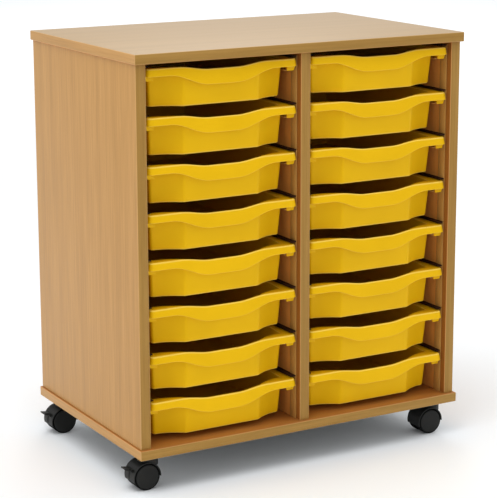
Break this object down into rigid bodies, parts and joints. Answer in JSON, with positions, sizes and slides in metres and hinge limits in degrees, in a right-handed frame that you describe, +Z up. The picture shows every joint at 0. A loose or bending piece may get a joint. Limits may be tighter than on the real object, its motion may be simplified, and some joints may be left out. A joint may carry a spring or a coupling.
{
  "type": "tray storage unit",
  "caption": "Low wheeled storage unit: wood-effect board carcass with two columns of shallow pull-out trays in runners, on swivelling twin-wheel castors with brake levers.",
  "frame": {"origin": "on the floor under the middle of the overall box, with the brake levers in that box", "axes": "+Z up, +Y towards the back, so the trays pull out along -Y; +X to the right seen from the front"},
  "size_m": [0.7042, 0.45, 0.792],
  "materials": {
    "board": "beech-effect board, satin",
    "tray": "yellow moulded plastic",
    "runner": "brown plastic",
    "castor": "black plastic",
    "steel": "plain steel pin"
  },
  "bodies": {
    "carcass": {"top_panel": "board", "base_panel": "board", "left_side_panel": "board", "right_side_panel": "board", "centre_divider": "board", "back_panel": "board", "left_bay_left_runner_pair_1": "runner", "left_bay_left_runner_pair_2": "runner", "left_bay_left_runner_pair_3": "runner", "left_bay_left_runner_pair_4": "runner", "left_bay_right_runner_pair_1": "runner", "left_bay_right_runner_pair_2": "runner", "left_bay_right_runner_pair_3": "runner", "left_bay_right_runner_pair_4": "runner", "right_bay_left_runner_pair_1": "runner", "right_bay_left_runner_pair_2": "runner", "right_bay_left_runner_pair_3": "runner", "right_bay_left_runner_pair_4": "runner", "right_bay_right_runner_pair_1": "runner", "right_bay_right_runner_pair_2": "runner", "right_bay_right_runner_pair_3": "runner", "right_bay_right_runner_pair_4": "runner", "castor_front_left_plate": "castor", "castor_back_left_plate": "castor", "castor_front_right_plate": "castor", "castor_back_right_plate": "castor"},
    "tray_left_1": {"tray_left_1": "tray"},
    "tray_left_2": {"tray_left_2": "tray"},
    "tray_left_3": {"tray_left_3": "tray"},
    "tray_left_4": {"tray_left_4": "tray"},
    "tray_left_5": {"tray_left_5": "tray"},
    "tray_left_6": {"tray_left_6": "tray"},
    "tray_left_7": {"tray_left_7": "tray"},
    "tray_left_8": {"tray_left_8": "tray"},
    "tray_right_1": {"tray_right_1": "tray"},
    "tray_right_2": {"tray_right_2": "tray"},
    "tray_right_3": {"tray_right_3": "tray"},
    "tray_right_4": {"tray_right_4": "tray"},
    "tray_right_5": {"tray_right_5": "tray"},
    "tray_right_6": {"tray_right_6": "tray"},
    "tray_right_7": {"tray_right_7": "tray"},
    "tray_right_8": {"tray_right_8": "tray"},
    "castor_front_left_swivel": {"castor_front_left_hood": "castor", "castor_front_left_axle": "steel"},
    "castor_front_left_front_wheel": {"castor_front_left_front_wheel": "castor"},
    "castor_front_left_back_wheel": {"castor_front_left_back_wheel": "castor"},
    "castor_front_left_brake": {"castor_front_left_brake": "castor"},
    "castor_back_left_swivel": {"castor_back_left_hood": "castor", "castor_back_left_axle": "steel"},
    "castor_back_left_front_wheel": {"castor_back_left_front_wheel": "castor"},
    "castor_back_left_back_wheel": {"castor_back_left_back_wheel": "castor"},
    "castor_back_left_brake": {"castor_back_left_brake": "castor"},
    "castor_front_right_swivel": {"castor_front_right_hood": "castor", "castor_front_right_axle": "steel"},
    "castor_front_right_front_wheel": {"castor_front_right_front_wheel": "castor"},
    "castor_front_right_back_wheel": {"castor_front_right_back_wheel": "castor"},
    "castor_back_right_swivel": {"castor_back_right_hood": "castor", "castor_back_right_axle": "steel"},
    "castor_back_right_front_wheel": {"castor_back_right_front_wheel": "castor"},
    "castor_back_right_back_wheel": {"castor_back_right_back_wheel": "castor"}
  },
  "joints": [
    {"name": "tray_left_1_slide", "type": "slide", "parent": "carcass", "child": "tray_left_1", "axis": [0, -1, 0], "range_m": [0, 0.33]},
    {"name": "tray_left_2_slide", "type": "slide", "parent": "carcass", "child": "tray_left_2", "axis": [0, -1, 0], "range_m": [0, 0.33]},
    {"name": "tray_left_3_slide", "type": "slide", "parent": "carcass", "child": "tray_left_3", "axis": [0, -1, 0], "range_m": [0, 0.33]},
    {"name": "tray_left_4_slide", "type": "slide", "parent": "carcass", "child": "tray_left_4", "axis": [0, -1, 0], "range_m": [0, 0.33]},
    {"name": "tray_left_5_slide", "type": "slide", "parent": "carcass", "child": "tray_left_5", "axis": [0, -1, 0], "range_m": [0, 0.33]},
    {"name": "tray_left_6_slide", "type": "slide", "parent": "carcass", "child": "tray_left_6", "axis": [0, -1, 0], "range_m": [0, 0.33]},
    {"name": "tray_left_7_slide", "type": "slide", "parent": "carcass", "child": "tray_left_7", "axis": [0, -1, 0], "range_m": [0, 0.33]},
    {"name": "tray_left_8_slide", "type": "slide", "parent": "carcass", "child": "tray_left_8", "axis": [0, -1, 0], "range_m": [0, 0.33]},
    {"name": "tray_right_1_slide", "type": "slide", "parent": "carcass", "child": "tray_right_1", "axis": [0, -1, 0], "range_m": [0, 0.33]},
    {"name": "tray_right_2_slide", "type": "slide", "parent": "carcass", "child": "tray_right_2", "axis": [0, -1, 0], "range_m": [0, 0.33]},
    {"name": "tray_right_3_slide", "type": "slide", "parent": "carcass", "child": "tray_right_3", "axis": [0, -1, 0], "range_m": [0, 0.33]},
    {"name": "tray_right_4_slide", "type": "slide", "parent": "carcass", "child": "tray_right_4", "axis": [0, -1, 0], "range_m": [0, 0.33]},
    {"name": "tray_right_5_slide", "type": "slide", "parent": "carcass", "child": "tray_right_5", "axis": [0, -1, 0], "range_m": [0, 0.33]},
    {"name": "tray_right_6_slide", "type": "slide", "parent": "carcass", "child": "tray_right_6", "axis": [0, -1, 0], "range_m": [0, 0.33]},
    {"name": "tray_right_7_slide", "type": "slide", "parent": "carcass", "child": "tray_right_7", "axis": [0, -1, 0], "range_m": [0, 0.33]},
    {"name": "tray_right_8_slide", "type": "slide", "parent": "carcass", "child": "tray_right_8", "axis": [0, -1, 0], "range_m": [0, 0.33]},
    {"name": "castor_front_left_turn", "type": "hinge", "parent": "carcass", "child": "castor_front_left_swivel", "pos_m": [-0.3039, -0.182, 0.0537], "axis": [0, 0, 1], "continuous": true},
    {"name": "castor_front_left_front_wheel_spin", "type": "hinge", "parent": "castor_front_left_swivel", "child": "castor_front_left_front_wheel", "pos_m": [-0.3139, -0.194, 0.025], "axis": [0, 1, 0], "continuous": true},
    {"name": "castor_front_left_back_wheel_spin", "type": "hinge", "parent": "castor_front_left_swivel", "child": "castor_front_left_back_wheel", "pos_m": [-0.3139, -0.17, 0.025], "axis": [0, 1, 0], "continuous": true},
    {"name": "castor_front_left_brake_press", "type": "hinge", "parent": "castor_front_left_swivel", "child": "castor_front_left_brake", "pos_m": [-0.34109, -0.182, 0.03946], "axis": [0, -1, 0], "range_deg": [0, 25]},
    {"name": "castor_back_left_turn", "type": "hinge", "parent": "carcass", "child": "castor_back_left_swivel", "pos_m": [-0.3039, 0.182, 0.0537], "axis": [0, 0, 1], "continuous": true},
    {"name": "castor_back_left_front_wheel_spin", "type": "hinge", "parent": "castor_back_left_swivel", "child": "castor_back_left_front_wheel", "pos_m": [-0.3139, 0.17, 0.025], "axis": [0, 1, 0], "continuous": true},
    {"name": "castor_back_left_back_wheel_spin", "type": "hinge", "parent": "castor_back_left_swivel", "child": "castor_back_left_back_wheel", "pos_m": [-0.3139, 0.194, 0.025], "axis": [0, 1, 0], "continuous": true},
    {"name": "castor_back_left_brake_press", "type": "hinge", "parent": "castor_back_left_swivel", "child": "castor_back_left_brake", "pos_m": [-0.34109, 0.182, 0.03946], "axis": [0, -1, 0], "range_deg": [0, 25]},
    {"name": "castor_front_right_turn", "type": "hinge", "parent": "carcass", "child": "castor_front_right_swivel", "pos_m": [0.3181, -0.182, 0.0537], "axis": [0, 0, 1], "continuous": true},
    {"name": "castor_front_right_front_wheel_spin", "type": "hinge", "parent": "castor_front_right_swivel", "child": "castor_front_right_front_wheel", "pos_m": [0.3081, -0.194, 0.025], "axis": [0, 1, 0], "continuous": true},
    {"name": "castor_front_right_back_wheel_spin", "type": "hinge", "parent": "castor_front_right_swivel", "child": "castor_front_right_back_wheel", "pos_m": [0.3081, -0.17, 0.025], "axis": [0, 1, 0], "continuous": true},
    {"name": "castor_back_right_turn", "type": "hinge", "parent": "carcass", "child": "castor_back_right_swivel", "pos_m": [0.3181, 0.182, 0.0537], "axis": [0, 0, 1], "continuous": true},
    {"name": "castor_back_right_front_wheel_spin", "type": "hinge", "parent": "castor_back_right_swivel", "child": "castor_back_right_front_wheel", "pos_m": [0.3081, 0.17, 0.025], "axis": [0, 1, 0], "continuous": true},
    {"name": "castor_back_right_back_wheel_spin", "type": "hinge", "parent": "castor_back_right_swivel", "child": "castor_back_right_back_wheel", "pos_m": [0.3081, 0.194, 0.025], "axis": [0, 1, 0], "continuous": true}
  ]
}
